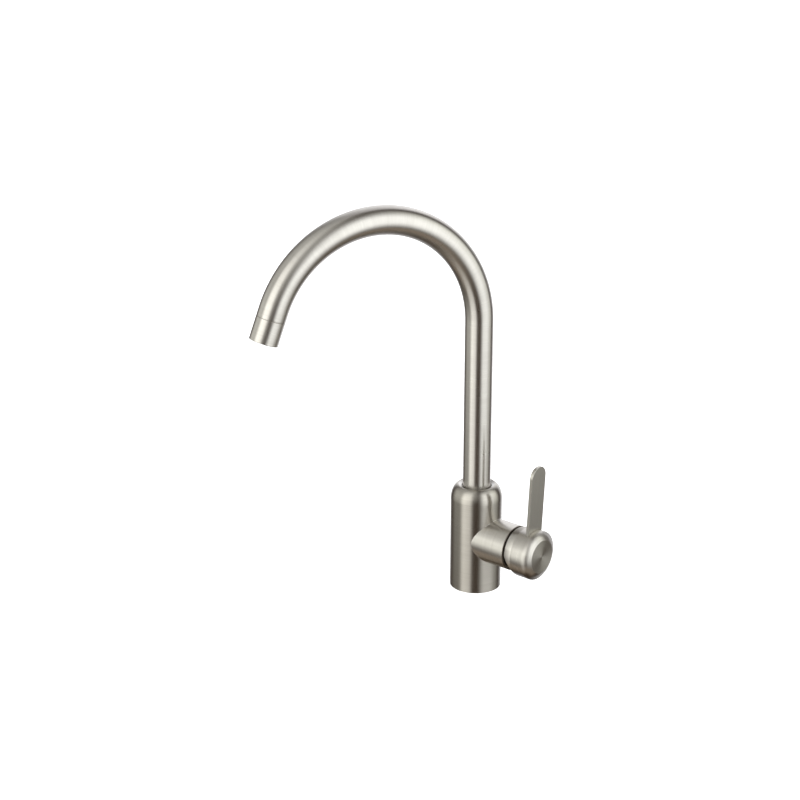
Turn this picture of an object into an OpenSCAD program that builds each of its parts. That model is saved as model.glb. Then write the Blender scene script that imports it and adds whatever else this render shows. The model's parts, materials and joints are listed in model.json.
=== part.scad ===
// Single-lever kitchen faucet with a swivelling goose-neck spout and a side handle.
// Millimetres. +Z is up, the origin is the centre of the foot on the sink deck, and the
// handle's branch runs along +X. The spout is drawn where it stands at rest.

/* [Spout] */
// Outside diameter of the spout tube
tube_d = 25; // [24:0.5:26]
// Wall of the spout tube
tube_wall = 1.2; // [1:0.1:1.5]
// Height above the deck where the bend starts
riser_top = 250.5; // [180:0.5:300]
// Radius of the bend on the tube's centre line
bend_r = 100; // [80:1:120]
// Angle that the bend turns through
bend_sweep = 159.3; // [140:0.1:175]
// Straight stretch from the bend to the outlet
spout_tail = 27.7; // [26:0.1:45]
// Direction of the spout at rest, counted from the handle's branch
spout_turn = -111.2; // [-180:0.1:180]
// Length of the aerator sleeve at the outlet
sleeve_len = 20; // [19:0.1:25]
// Wall of the aerator sleeve below its thread
sleeve_wall = 1.9; // [1.6:0.1:2.2]
// Length of the threaded joint between tube and sleeve
tip_thread_len = 8; // [6:0.5:9]

/* [Body] */
// Diameter of the body column
body_d = 46.5; // [46:0.5:50]
// Wall of the column
body_wall = 2; // [1.5:0.1:2.5]
// Height of the straight column above the branch's bore
column_rise = 17.7; // [17:0.1:30]
// How far the shoulder comes in from the column's wall
shoulder_in = 7.8; // [6:0.1:9]
// How far the shoulder rises
shoulder_up = 14; // [12:0.1:15]
// Gap between the spout tube and the opening at the top of the body
neck_gap = 1.1; // [0.9:0.1:1.4]
// Width of the slope that leads from the shoulder's crest down to the opening
lip_w = 2.95; // [1.5:0.05:3.5]
// Depth of that slope
lip_drop = 1.65; // [0.8:0.05:2.5]

/* [Branch and cartridge] */
// Height of the branch's axis above the deck
branch_z = 48.3; // [46:0.1:50]
// Wall of the branch
branch_wall = 2; // [1.5:0.1:2.5]
// Distance from the column's axis to the branch's end
branch_len = 46.3; // [44:0.1:60]
// Diameter of the cartridge housing
cartridge_d = 34.8; // [34:0.1:36]
// Room between the cartridge and the branch's bore
cartridge_room = 1.1; // [0.9:0.1:1.3]
// Distance of the lever's pivot back from the branch's end
pivot_inset = 4.3; // [4.1:0.1:4.7]
// Distance from the lever's pivot to the ball that moves the ceramic disc
stem_arm = 9; // [8:0.1:9.4]
// Diameter of the pivot pin
pin_d = 4; // [3:0.1:4.4]
// Diameter of the stem above the pivot
stem_d = 7.8; // [7:0.1:8]
// Gap between the dome over the cartridge nut and the bores round it
dome_gap = 0.7; // [0.5:0.1:1]

/* [Handle] */
// How much wider the hub's diameter is than the branch's
hub_swell = 4; // [1:0.1:6]
// Length of the hub from the seam to its face
hub_len = 26.8; // [26.5:0.1:32]
// Length over which the hub widens from the branch's diameter
flare_len = 8.3; // [6:0.1:10]
// Seam between branch and hub
hub_gap = 1.6; // [1:0.1:1.8]
// Length of the bevel round the hub's face
bevel_len = 3.9; // [2:0.1:5]
// How far the bevel comes in
bevel_in = 7.2; // [3:0.1:8]
// Travel of the lever from closed to full flow
flow_angle = 25; // [15:1:25]
// Room left between the cut-back rim and the branch at full flow
relief_spare = 0.5; // [0.5:0.1:2]
// Width of the lever blade
lever_w = 19.5; // [15:0.5:21]
// Thickness of the lever blade
lever_t = 3; // [2.5:0.1:4]
// Height of the lever's tip above the branch's axis
lever_top = 83.6; // [60:0.1:110]
// Outward lean of the lever blade
lever_lean = 2.75; // [0:0.25:6]
// Distance from the hub's face back to the lever's outer face
lever_back = 7.9; // [7.6:0.1:9.5]

/* [Foot] */
// Thickness of the base insert
base_t = 14; // [13:0.5:16]
// Bore radius of the hose threads
hose_r = 4.5; // [4.2:0.1:4.8]
// Distance of the hose threads from the foot's centre plane
hose_y = 7.5; // [7.2:0.1:8]
// Distance of the hose threads from the column's axis towards the handle
hose_x = 9; // [8:0.5:9.5]
// Bore radius of the stud thread
stud_r = 3.4; // [3:0.1:4]
// Distance of the stud thread from the column's axis
stud_x = 9; // [8:0.5:11]
// Depth of the stud thread
stud_depth = 11; // [8:0.5:12]

/* [Hidden] */

$fn = 96;
// How far a cutter runs past the face that it opens
over = 1;
// Radial clearance of pieces that turn or slide in each other
fit_gap = 0.05;
// Clearance of pieces that are seated in each other
seat_gap = 0.15;
// Space between pieces that move past each other
free_gap = 0.4;

// Radii that follow from the driving diameters
tube_r = tube_d / 2;
tube_bore_r = tube_r - tube_wall;
body_r = body_d / 2;
body_bore_r = body_r - body_wall;
neck_r = tube_r + neck_gap;
crest_r = neck_r + lip_w;
branch_bore_r = cartridge_d / 2 + cartridge_room;
branch_r = branch_bore_r + branch_wall;
hub_r = branch_r + hub_swell / 2;
dome_r = branch_bore_r - dome_gap;
pivot_x = branch_len - pivot_inset;

// The shoulder is a quarter of an ellipse that stops at the crest
shoulder_z = branch_z + branch_bore_r + column_rise;
shoulder_cx = body_r - shoulder_in;
shoulder_steps = 14;
shoulder_end = acos(min(1, max(0, (crest_r - shoulder_cx) / shoulder_in)));
crest_z = shoulder_z + shoulder_up * sin(shoulder_end);
lip_z = crest_z - lip_drop;

// The spout's seat fills the top of the column, just above the branch's bore
seat_bottom = branch_z + branch_bore_r + seat_gap;
seat_floor_t = 2.25;
nose_step = 2.5;
nose_r = tube_r - nose_step;
nose_len = 6.9;
nose_z = seat_bottom + seat_floor_t + free_gap;
washer_t = 1;
collar_z = nose_z + nose_len;
step_z = collar_z - washer_t - 2 * seat_gap;
collar_len = 7;
tube_bottom = collar_z + collar_len;
groove_w = 2.8;
groove_depth = 1.5;
screw_z = collar_z + collar_len / 2;
screw_tip_r = groove_w / 2 - seat_gap;
seat_screw_r = 2.4;
plug_len = 11.5;
spigot_bore_r = 7;
glide_len = 4;
glide_depth = 1.4;
upper_glide_z = lip_z - glide_depth - glide_len;
lower_glide_z = screw_z + screw_tip_r + free_gap;
cavity_top = lower_glide_z + glide_len;
seal_r = 0.8;
seal_ring_r = nose_r - seal_r + fit_gap / 2;
seal_first = 1.8;
seal_pitch = 2.6;

// The foot: a gasket in its groove, two hose threads with the tubes above, and the stud
gasket_depth = 1.8;
gasket_w = 2.2;
gasket_inset = 2.3;
gasket_r = body_bore_r - gasket_inset;
socket_len = 4;
hose_floor = 1;
hose_depth = base_t - socket_len - hose_floor;
inlet_foot_z = base_t - socket_len + seat_gap;

// Waterways in the valve seat and the ports of the discs, beside and above the branch's axis
port_in_y = 5;
port_in_z = 4;
port_in_r = 2.4;
port_out_z = -6;
port_out_r = 3.4;
passage_r = 3;
outlet_r = 4;
inlet_tube_r = 4;
nipple_wall = 1.5;
nipple_r = outlet_r + nipple_wall;
nipple_socket = 5.5;
seal_w = 1.5;
seal_len = 1.5;
seal_pocket = 1.4;

// Stations along the branch, counted from the column's axis
ball_x = pivot_x - stem_arm;
ball_r = 3;
moving_t = 4;
fixed_t = 3.5;
carrier_lap = 2;
carrier_past_ball = 2.6;
carrier_front = ball_x + carrier_past_ball;
moving_top = ball_x - ball_r - free_gap;
moving_bottom = moving_top - moving_t;
fixed_top = moving_bottom - fit_gap;
fixed_bottom = fixed_top - fixed_t;
cartridge_base_t = 3.1;
seat_face = fixed_bottom - cartridge_base_t - seat_gap;
valve_seat_r = branch_bore_r - seat_gap;
back_room = 2.8;
valve_seat_back = back_room - sqrt(max(0, pow(body_bore_r, 2) - pow(valve_seat_r, 2)));

// The cartridge housing and what turns in it
housing_r = cartridge_d / 2;
housing_side_t = 2.2;
housing_bore_r = housing_r - housing_side_t;
flange_x = carrier_front + free_gap;
flange_t = 1.8;
neck_start = flange_x + flange_t + 2 * seat_gap;
housing_top_t = 0.9;
neck_inset = 3.2;
neck_wall = 2.95;
neck_out_r = housing_r - neck_inset;
neck_bore_r = neck_out_r - neck_wall;
neck_past_pivot = 4.6;
neck_end = pivot_x + neck_past_pivot;
collar_proud = 0.9;
collar_end = neck_end + collar_proud;
collar_r = neck_bore_r - fit_gap;
slot_half_h = 8;
nut_start = neck_start + housing_top_t;
nut_flange_end = pivot_x + free_gap;
nut_collar_len = 2.6;
nut_collar_end = nut_flange_end + nut_collar_len;
dome_wall = 1.2;
nut_collar_room = 0.6;
nut_collar_r = dome_r - dome_wall - nut_collar_room;
nut_notch_w = 4;
nut_notch_depth = 1.5;
dome_hole_rim = 12.67;
dome_hole_r = sqrt(pow(dome_r, 2) - pow(dome_hole_rim, 2));

// The moving disc rests to one side and slides across by the ball's travel
disc_travel = stem_arm * flow_angle * PI / 180;
disc_rest = -disc_travel / 2;
carrier_room = 1.6;
carrier_wall = 1;
carrier_r = housing_bore_r - disc_travel / 2 - carrier_room;
moving_r = carrier_r - carrier_wall;
chamber_r = 6.5;
chamber_z = -5;
chamber_depth = 2.2;

// Handle stations
hub_start = branch_len + hub_gap;
hub_face = hub_start + hub_len;
hub_bore_r = branch_bore_r;
hub_floor_room = 1.2;
hub_floor = pivot_x + dome_r + hub_floor_room;
relief_angle = flow_angle + relief_spare;
lever_x = hub_face - lever_back;
tongue_depth = 5;
stem_square = 7;
socket_depth = 8.8;
stem_end = hub_floor + socket_depth;
hub_screw_x = hub_floor + socket_depth / 2;
hub_screw_r = 2.4;
hub_screw_len = 10;
screw_plug_t = 3.5;
screw_plug_inset = 0.3;
hex_r = 1.4;
hex_depth = 2.5;

// Stations along the spout's tail, counted from the end of the bend
tail_angle = 180 - bend_sweep;
tail_x = bend_r * (1 + cos(tail_angle));
tail_z = riser_top + bend_r * sin(tail_angle);
tube_tail = spout_tail - sleeve_len;
// The tail is turned a hair thinner inside and out, and starts inside the bend's wall
tail_turned = 0.02;
tail_lap = 0.05;
thread_wall = 1.5;
thread_r = tube_r - thread_wall;
tip_wall = 2.5;
tip_bore_r = thread_r - tip_wall;
thread_end = tube_tail + tip_thread_len;
gasket_t = 1.4;
aerator_r = tube_r - sleeve_wall - seat_gap;
aerator_start = thread_end + gasket_t + 2 * seat_gap;
outlet_lip_t = 1.6;
outlet_lip_w = 1.2;
aerator_end = spout_tail - outlet_lip_t;

module ring(r_out, r_in, h) {
    difference() {
        cylinder(r = r_out, h = h);
        translate([0, 0, -over]) cylinder(r = r_in, h = h + 2 * over);
    }
}

module seal_torus(ring_r, thick_r) {
    rotate_extrude() translate([ring_r, 0]) circle(r = thick_r, $fn = 32);
}

// Local +Z runs out along the branch and local -X is up
module on_branch(x = 0) {
    translate([x, 0, branch_z]) rotate([0, 90, 0]) children();
}

// Local +X is the way the spout points
module on_spout() {
    rotate([0, 0, spout_turn]) children();
}

// Local +Z runs from the end of the bend out through the outlet
module on_tail(w = 0) {
    on_spout() translate([tail_x, 0, tail_z]) rotate([0, bend_sweep, 0])
        translate([0, 0, w]) children();
}

// The three water ports, drawn along local +Z of the branch
module ports(grow, h) {
    for (side = [-1, 1]) translate([-port_in_z, side * port_in_y, 0])
        cylinder(r = port_in_r + grow, h = h);
    translate([-port_out_z, 0, 0]) cylinder(r = port_out_r + grow, h = h);
}

function shoulder_point(i) =
    let (a = shoulder_end * i / shoulder_steps)
    [shoulder_cx + shoulder_in * cos(a), shoulder_z + shoulder_up * sin(a)];

module body_outline() {
    polygon(concat(
        [[0, 0], [body_r, 0]],
        [for (i = [0 : shoulder_steps]) shoulder_point(i)],
        [[neck_r, lip_z], [0, lip_z]]
    ));
}

// The cartridge's bore runs from inside the column out through the branch's end
module branch_bore() {
    on_branch() cylinder(r = branch_bore_r, h = branch_len + over);
}

module faucet_body() {
    color("#9b9389") difference() {
        rotate_extrude() body_outline();
        translate([0, 0, -over]) cylinder(r = body_bore_r, h = cavity_top + over);
        translate([0, 0, -over]) cylinder(r = neck_r, h = crest_z + 2 * over);
        branch_bore();
        translate([0, 0, screw_z]) rotate([-90, 0, 0])
            cylinder(r = seat_screw_r + seat_gap, h = body_r + over);
    }
}

// The branch is coped to the column, to which it is welded
module side_branch() {
    color("#9b9389") difference() {
        on_branch() cylinder(r = branch_r, h = branch_len);
        cylinder(r = body_r, h = branch_z * 2);
        branch_bore();
    }
}

module base_insert() {
    color("#b8954a") difference() {
        cylinder(r = body_bore_r - fit_gap, h = base_t);
        translate([0, 0, -over]) gasket_ring(seat_gap, gasket_depth + over);
        for (side = [-1, 1]) translate([hose_x, side * hose_y, 0]) {
            translate([0, 0, -over]) cylinder(r = hose_r, h = hose_depth + over);
            cylinder(r = passage_r, h = base_t + over);
            translate([0, 0, inlet_foot_z - seat_gap])
                cylinder(r = inlet_tube_r + fit_gap, h = socket_len + over);
        }
        translate([-stud_x, 0, -over]) cylinder(r = stud_r, h = stud_depth + over);
    }
}

module gasket_ring(grow, h) {
    ring(gasket_r + gasket_w / 2 + grow, gasket_r - gasket_w / 2 - grow, h);
}

module base_gasket() {
    color("#2b2b2b") gasket_ring(0, gasket_depth);
}

// Height of the valve seat's underside above a point off the branch's plane
function seat_underside(y) = branch_z - sqrt(pow(valve_seat_r, 2) - pow(y, 2));
inlet_socket_z = seat_underside(hose_y) + socket_len;

module inlet_tube(side) {
    translate([hose_x, side * hose_y, inlet_foot_z])
        ring(inlet_tube_r, passage_r, inlet_socket_z - seat_gap - inlet_foot_z);
}

module cold_inlet_tube() {
    color("#c07d4f") inlet_tube(1);
}

module hot_inlet_tube() {
    color("#c07d4f") inlet_tube(-1);
}

module valve_seat() {
    color("#b8954a") difference() {
        on_branch(valve_seat_back) cylinder(r = valve_seat_r, h = seat_face - valve_seat_back);
        for (side = [-1, 1]) {
            on_branch(hose_x) translate([-port_in_z, side * port_in_y, 0])
                cylinder(r = port_in_r, h = seat_face);
            translate([hose_x, side * hose_y, 0]) {
                cylinder(r = passage_r, h = branch_z + port_in_z);
                cylinder(r = inlet_tube_r + fit_gap, h = inlet_socket_z);
            }
        }
        on_branch() translate([-port_out_z, 0, 0])
            cylinder(r = port_out_r, h = seat_face + over);
        translate([0, 0, branch_z + port_out_z]) cylinder(r = outlet_r, h = valve_seat_r * 2);
        translate([0, 0, branch_z + valve_seat_r - nipple_socket])
            cylinder(r = nipple_r + fit_gap, h = nipple_socket * 2);
    }
}

module riser_nipple() {
    foot_z = branch_z + valve_seat_r - nipple_socket + seat_gap;
    color("#b8954a") translate([0, 0, foot_z])
        ring(nipple_r, outlet_r, seat_bottom + seat_floor_t - seat_gap - foot_z);
}

module spout_seat() {
    color("#b8954a") difference() {
        translate([0, 0, seat_bottom])
            cylinder(r = body_bore_r - fit_gap, h = cavity_top - seat_bottom);
        translate([0, 0, seat_bottom - over])
            cylinder(r = nipple_r + fit_gap, h = seat_floor_t + 2 * over);
        translate([0, 0, seat_bottom + seat_floor_t])
            cylinder(r = nose_r + fit_gap, h = cavity_top);
        translate([0, 0, step_z]) cylinder(r = neck_r, h = cavity_top);
        translate([0, 0, screw_z]) rotate([-90, 0, 0])
            cylinder(r = seat_screw_r + fit_gap, h = body_r);
    }
}

module spout_set_screw() {
    tip_y = tube_r - groove_depth + 2 * seat_gap;
    screw_y = neck_r + seat_gap;
    screw_len = body_bore_r - screw_y - free_gap;
    color("#5c5c5e") translate([0, 0, screw_z]) rotate([-90, 0, 0]) difference() {
        union() {
            translate([0, 0, tip_y]) cylinder(r = screw_tip_r, h = screw_y - tip_y + over);
            translate([0, 0, screw_y]) cylinder(r = seat_screw_r, h = screw_len);
        }
        translate([0, 0, screw_y + screw_len - hex_depth])
            cylinder(r = hex_r, h = hex_depth + over, $fn = 6);
    }
}

module upper_glide_ring() {
    color("#e8e6de") translate([0, 0, upper_glide_z])
        ring(neck_r - fit_gap, tube_r + fit_gap, glide_len);
}

module lower_glide_ring() {
    color("#e8e6de") translate([0, 0, lower_glide_z])
        ring(neck_r - fit_gap, tube_r + fit_gap, glide_len);
}

module thrust_washer() {
    color("#e8e6de") translate([0, 0, step_z + fit_gap])
        ring(neck_r - seat_gap, nose_r + 2 * seat_gap, washer_t);
}

module cartridge_base() {
    color("#e4e1d6") on_branch(fixed_bottom - cartridge_base_t) difference() {
        cylinder(r = housing_r, h = cartridge_base_t);
        translate([0, 0, -over]) ports(0, cartridge_base_t + 2 * over);
        translate([0, 0, -over]) ports(seal_w + fit_gap, seal_pocket + over);
    }
}

module cartridge_seals() {
    color("#2f3a46") on_branch(seat_face) difference() {
        ports(seal_w, seal_len);
        translate([0, 0, -over]) ports(fit_gap, seal_len + 2 * over);
    }
}

module fixed_disc() {
    color("#f2f0ea") on_branch(fixed_bottom) difference() {
        cylinder(r = housing_bore_r - seat_gap, h = fixed_t);
        translate([0, 0, -over]) ports(0, fixed_t + 2 * over);
    }
}

module cartridge_housing() {
    color("#e4e1d6") difference() {
        union() {
            on_branch(fixed_bottom) cylinder(r = housing_r, h = nut_start - fixed_bottom);
            on_branch(fixed_bottom) cylinder(r = neck_out_r, h = neck_end - fixed_bottom);
        }
        on_branch(fixed_bottom - over)
            cylinder(r = housing_bore_r, h = neck_start - fixed_bottom + over);
        on_branch(fixed_bottom) cylinder(r = neck_bore_r, h = branch_len);
    }
}

module cartridge_nut() {
    color("#b8954a") difference() {
        union() {
            on_branch(nut_start)
                cylinder(r = branch_bore_r - fit_gap, h = nut_flange_end - nut_start);
            on_branch(nut_start) cylinder(r = nut_collar_r, h = nut_collar_end - nut_start);
        }
        on_branch(nut_start - over) cylinder(r = neck_out_r + seat_gap, h = branch_len);
        for (turn = [45 : 90 : 315]) on_branch(nut_collar_end - nut_notch_depth)
            rotate([0, 0, turn]) translate([neck_out_r - over, -nut_notch_w / 2, 0])
                cube([dome_r, nut_notch_w, nut_notch_depth + over]);
    }
}

module dome_cover() {
    color("#77716a") difference() {
        on_branch(pivot_x) sphere(r = dome_r);
        on_branch(pivot_x) sphere(r = dome_r - dome_wall);
        on_branch(nut_flange_end + fit_gap - dome_r * 2) cylinder(r = dome_r * 2, h = dome_r * 2);
        on_branch(pivot_x) cylinder(r = dome_hole_r, h = dome_r * 2);
    }
}

module turning_collar() {
    slot_half_w = stem_d / 2 + seat_gap;
    color("#3f4a55") difference() {
        union() {
            on_branch(flange_x) cylinder(r = housing_bore_r - free_gap, h = flange_t);
            on_branch(flange_x) cylinder(r = collar_r, h = collar_end - flange_x);
        }
        on_branch(flange_x - over) translate([-slot_half_h, -slot_half_w, 0])
            cube([slot_half_h * 2, slot_half_w * 2, branch_len]);
        on_branch(pivot_x) rotate([90, 0, 0])
            cylinder(r = pin_d / 2, h = branch_len, center = true);
    }
}

module pivot_pin() {
    pin_len = (collar_r - free_gap) * 2;
    color("#8c8c8e") on_branch(pivot_x) rotate([90, 0, 0])
        cylinder(r = pin_d / 2, h = pin_len, center = true);
}

module moving_disc() {
    color("#f2f0ea") on_branch(moving_bottom) difference() {
        translate([-disc_rest, 0, 0]) cylinder(r = moving_r, h = moving_t);
        translate([-chamber_z, 0, -over]) cylinder(r = chamber_r, h = chamber_depth + over);
    }
}

module disc_carrier() {
    lap_x = moving_top - carrier_lap;
    color("#e4e1d6") difference() {
        on_branch(lap_x) translate([-disc_rest, 0, 0])
            cylinder(r = carrier_r, h = carrier_front - lap_x);
        on_branch(lap_x - over) translate([-disc_rest, 0, 0])
            cylinder(r = moving_r + fit_gap, h = carrier_lap + fit_gap + over);
        on_branch(lap_x) cylinder(r = ball_r + seat_gap, h = branch_len);
    }
}

module stem() {
    arm_r = 1.7;
    root_x = pivot_x - stem_d / 2;
    color("#8c8c8e") difference() {
        union() {
            on_branch(ball_x) sphere(r = ball_r, $fn = 48);
            on_branch(ball_x) cylinder(r = arm_r, h = stem_arm);
            on_branch(root_x) cylinder(r = stem_d / 2, h = hub_floor - root_x + over);
            on_branch(hub_floor) translate([-stem_square / 2, -stem_square / 2, 0])
                cube([stem_square, stem_square, socket_depth - free_gap]);
        }
        on_branch(pivot_x) rotate([90, 0, 0])
            cylinder(r = pin_d / 2 + fit_gap, h = branch_len, center = true);
    }
}

module hub_outline() {
    polygon([
        [0, 0],
        [branch_r, 0],
        [hub_r, flare_len],
        [hub_r, hub_len - bevel_len],
        [hub_r - bevel_in, hub_len],
        [0, hub_len]
    ]);
}

// The rim's lower half is cut back so that the hub can tilt without touching the branch
module rim_relief() {
    reach = hub_r + over;
    translate([hub_start, 0, branch_z]) rotate([90, 0, 0])
        linear_extrude(height = reach * 2, center = true)
            polygon([[-over, 0], [0, 0], [reach * tan(relief_angle), -reach], [-over, -reach]]);
}

module handle_hub() {
    socket_half = stem_square / 2 + seat_gap;
    color("#8f887f") difference() {
        on_branch(hub_start) rotate_extrude() hub_outline();
        on_branch(hub_start - over) cylinder(r = hub_bore_r, h = hub_floor - hub_start + over);
        on_branch(hub_floor - over) translate([-socket_half, -socket_half, 0])
            cube([socket_half * 2, socket_half * 2, socket_depth + over]);
        on_branch(hub_floor - over) cylinder(r = stem_d / 2 + fit_gap, h = 2 * over + fit_gap);
        translate([hub_screw_x, 0, branch_z]) rotate([180, 0, 0])
            cylinder(r = hub_screw_r + fit_gap, h = hub_r + over);
        rim_relief();
        blade(fit_gap);
    }
}

// The blade stands in a slot in the hub and ends in a half round
module blade(grow) {
    height = lever_top - hub_r - lever_w / 2;
    half_w = lever_w / 2 + grow;
    translate([lever_x, 0, branch_z + hub_r]) rotate([0, lever_lean, 0]) {
        translate([-lever_t - grow, -half_w, -tongue_depth - grow])
            cube([lever_t + grow * 2, half_w * 2, height + tongue_depth + grow]);
        translate([-lever_t - grow, 0, height]) rotate([0, 90, 0])
            cylinder(r = half_w, h = lever_t + grow * 2);
    }
}

module lever_blade() {
    color("#7b756e") blade(0);
}

module hub_set_screw() {
    top_z = branch_z - stem_square / 2 - fit_gap;
    color("#5c5c5e") translate([hub_screw_x, 0, top_z]) rotate([180, 0, 0]) difference() {
        cylinder(r = hub_screw_r, h = hub_screw_len);
        translate([0, 0, hub_screw_len - hex_depth])
            cylinder(r = hex_r, h = hex_depth + over, $fn = 6);
    }
}

module screw_plug() {
    color("#6d6862") translate([hub_screw_x, 0, branch_z - hub_r + screw_plug_inset])
        cylinder(r = hub_screw_r, h = screw_plug_t);
}

// Local X and Y span the plane of the bend, with the bend's centre at the origin
module on_bend() {
    translate([bend_r, 0, riser_top]) rotate([90, 0, 0]) children();
}

// The bend is the part of a ring above the riser's end and before the tail's start
module bend(r) {
    reach = bend_r * 2;
    on_bend() difference() {
        rotate_extrude() translate([bend_r, 0]) circle(r = r);
        for (turn = [0, tail_angle]) rotate([0, 0, turn])
            translate([-reach, -reach, -reach]) cube([reach * 2, reach, reach * 2]);
    }
}

module spout_tube() {
    color("#9b9389") on_spout() union() {
        translate([0, 0, tube_bottom]) ring(tube_r, tube_bore_r, riser_top - tube_bottom);
        difference() {
            bend(tube_r);
            bend(tube_bore_r);
        }
        on_bend() rotate([0, 0, tail_angle]) translate([bend_r, tail_lap, 0]) rotate([90, 0, 0])
            ring(tube_r - tail_turned, tube_bore_r + tail_turned, tube_tail + tail_lap);
    }
}

// Height of the middle of one of the spigot's two seals
function seal_z(i) = nose_z + seal_first + i * seal_pitch;

module spout_spigot() {
    color("#b8954a") difference() {
        union() {
            translate([0, 0, nose_z]) cylinder(r = nose_r, h = nose_len);
            translate([0, 0, collar_z]) cylinder(r = tube_r, h = collar_len);
            translate([0, 0, tube_bottom]) cylinder(r = tube_bore_r - fit_gap, h = plug_len);
        }
        translate([0, 0, nose_z - over])
            cylinder(r = spigot_bore_r, h = nose_len + collar_len + plug_len + 2 * over);
        for (i = [0, 1]) translate([0, 0, seal_z(i) - seal_r])
            ring(nose_r + over, seal_ring_r - seal_r, seal_r * 2);
        translate([0, 0, screw_z - groove_w / 2])
            ring(tube_r + over, tube_r - groove_depth, groove_w);
    }
}

module spigot_seals() {
    color("#2b2b2b") for (i = [0, 1]) translate([0, 0, seal_z(i)])
        seal_torus(seal_ring_r, seal_r);
}

module tip_insert() {
    color("#b8954a") on_tail(seat_gap) difference() {
        union() {
            cylinder(r = tube_bore_r - fit_gap, h = tube_tail - seat_gap);
            cylinder(r = thread_r, h = thread_end - seat_gap);
        }
        translate([0, 0, -over]) cylinder(r = tip_bore_r, h = thread_end + 2 * over);
    }
}

module aerator_sleeve() {
    thread_depth = tip_thread_len + gasket_t;
    color("#9b9389") on_tail(tube_tail + fit_gap) difference() {
        cylinder(r = tube_r, h = sleeve_len - fit_gap);
        translate([0, 0, -over]) cylinder(r = thread_r + fit_gap, h = thread_depth + over);
        translate([0, 0, -over])
            cylinder(r = tube_r - sleeve_wall, h = aerator_end - tube_tail + over);
        translate([0, 0, -over])
            cylinder(r = aerator_r - outlet_lip_w, h = sleeve_len + 2 * over);
    }
}

module aerator_housing() {
    shell_t = 1.1;
    fin_t = 0.9;
    fin_len = 3;
    fin_turn = 30;
    ring_pitch = 3.1;
    boss_r = 2;
    grid_inset = 0.4;
    length = aerator_end - aerator_start - seat_gap;
    color("#d9d7cf") on_tail(aerator_start) union() {
        ring(aerator_r, aerator_r - shell_t, length);
        translate([0, 0, length - grid_inset - fin_len]) {
            cylinder(r = boss_r, h = fin_len);
            for (turn = [0 : fin_turn : 180 - fin_turn]) rotate([0, 0, turn])
                translate([-aerator_r + shell_t / 2, -fin_t / 2, 0])
                    cube([aerator_r * 2 - shell_t, fin_t, fin_len]);
            for (i = [1, 2])
                ring(i * ring_pitch + fin_t / 2, i * ring_pitch - fin_t / 2, fin_len);
        }
    }
}

module aerator_screens() {
    screen_t = 0.5;
    screen_pitch = 1.2;
    hole_r = 1.1;
    hole_pitch = 3.2;
    rows = 2;
    first_screen = 1;
    screen_inset = 1.3;
    screen_r = aerator_r - screen_inset;
    color("#b9b9b6") for (i = [0, 1]) on_tail(aerator_start + first_screen + i * screen_pitch)
        difference() {
            cylinder(r = screen_r, h = screen_t);
            for (x = [-rows : rows]) for (y = [-rows : rows])
                if (norm([x, y]) * hole_pitch + hole_r < screen_r)
                    translate([x * hole_pitch, y * hole_pitch, -over])
                        cylinder(r = hole_r, h = screen_t + 2 * over, $fn = 16);
        }
}

module aerator_gasket() {
    color("#2b2b2b") on_tail(thread_end + seat_gap) ring(aerator_r, tip_bore_r, gasket_t);
}

faucet_body();
side_branch();
base_insert();
base_gasket();
cold_inlet_tube();
hot_inlet_tube();
valve_seat();
riser_nipple();
spout_seat();
spout_set_screw();
upper_glide_ring();
lower_glide_ring();
thrust_washer();
cartridge_base();
cartridge_seals();
fixed_disc();
cartridge_housing();
cartridge_nut();
dome_cover();
turning_collar();
pivot_pin();
moving_disc();
disc_carrier();
stem();
handle_hub();
lever_blade();
hub_set_screw();
screw_plug();
spout_tube();
spout_spigot();
spigot_seals();
tip_insert();
aerator_sleeve();
aerator_housing();
aerator_screens();
aerator_gasket();
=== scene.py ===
"""Looks of the single-lever kitchen faucet, dressed on its packed construction.

Metres. The column stands on the origin, +Z is up and the handle's branch runs along +X.
"""

import json
import math

import bpy
import numpy as np
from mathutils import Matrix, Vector


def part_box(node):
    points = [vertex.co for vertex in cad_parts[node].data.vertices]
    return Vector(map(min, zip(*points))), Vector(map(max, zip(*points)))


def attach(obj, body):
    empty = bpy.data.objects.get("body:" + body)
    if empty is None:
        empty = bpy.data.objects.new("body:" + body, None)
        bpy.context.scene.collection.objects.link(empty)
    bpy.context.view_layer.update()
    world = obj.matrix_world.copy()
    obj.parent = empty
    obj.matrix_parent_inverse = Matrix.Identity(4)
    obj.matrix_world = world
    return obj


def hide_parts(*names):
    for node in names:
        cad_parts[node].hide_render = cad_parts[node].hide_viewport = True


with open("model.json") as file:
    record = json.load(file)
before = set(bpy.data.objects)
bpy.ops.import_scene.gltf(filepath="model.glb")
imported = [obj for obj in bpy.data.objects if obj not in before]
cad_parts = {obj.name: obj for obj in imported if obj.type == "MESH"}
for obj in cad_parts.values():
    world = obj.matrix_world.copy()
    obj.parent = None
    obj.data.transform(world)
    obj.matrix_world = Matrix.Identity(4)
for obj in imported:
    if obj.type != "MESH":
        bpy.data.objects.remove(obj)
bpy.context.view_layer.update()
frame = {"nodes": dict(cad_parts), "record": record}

MM = 0.001

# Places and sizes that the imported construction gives
column_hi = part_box("faucet_body")[1]
branch_lo, branch_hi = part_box("side_branch")
hub_lo, hub_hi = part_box("handle_hub")
blade_lo, blade_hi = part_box("lever_blade")
tube_lo, tube_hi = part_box("spout_tube")
seat_screw_lo, seat_screw_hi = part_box("spout_set_screw")
hub_screw_lo, hub_screw_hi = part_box("hub_set_screw")
glide_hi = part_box("upper_glide_ring")[1]

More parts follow.
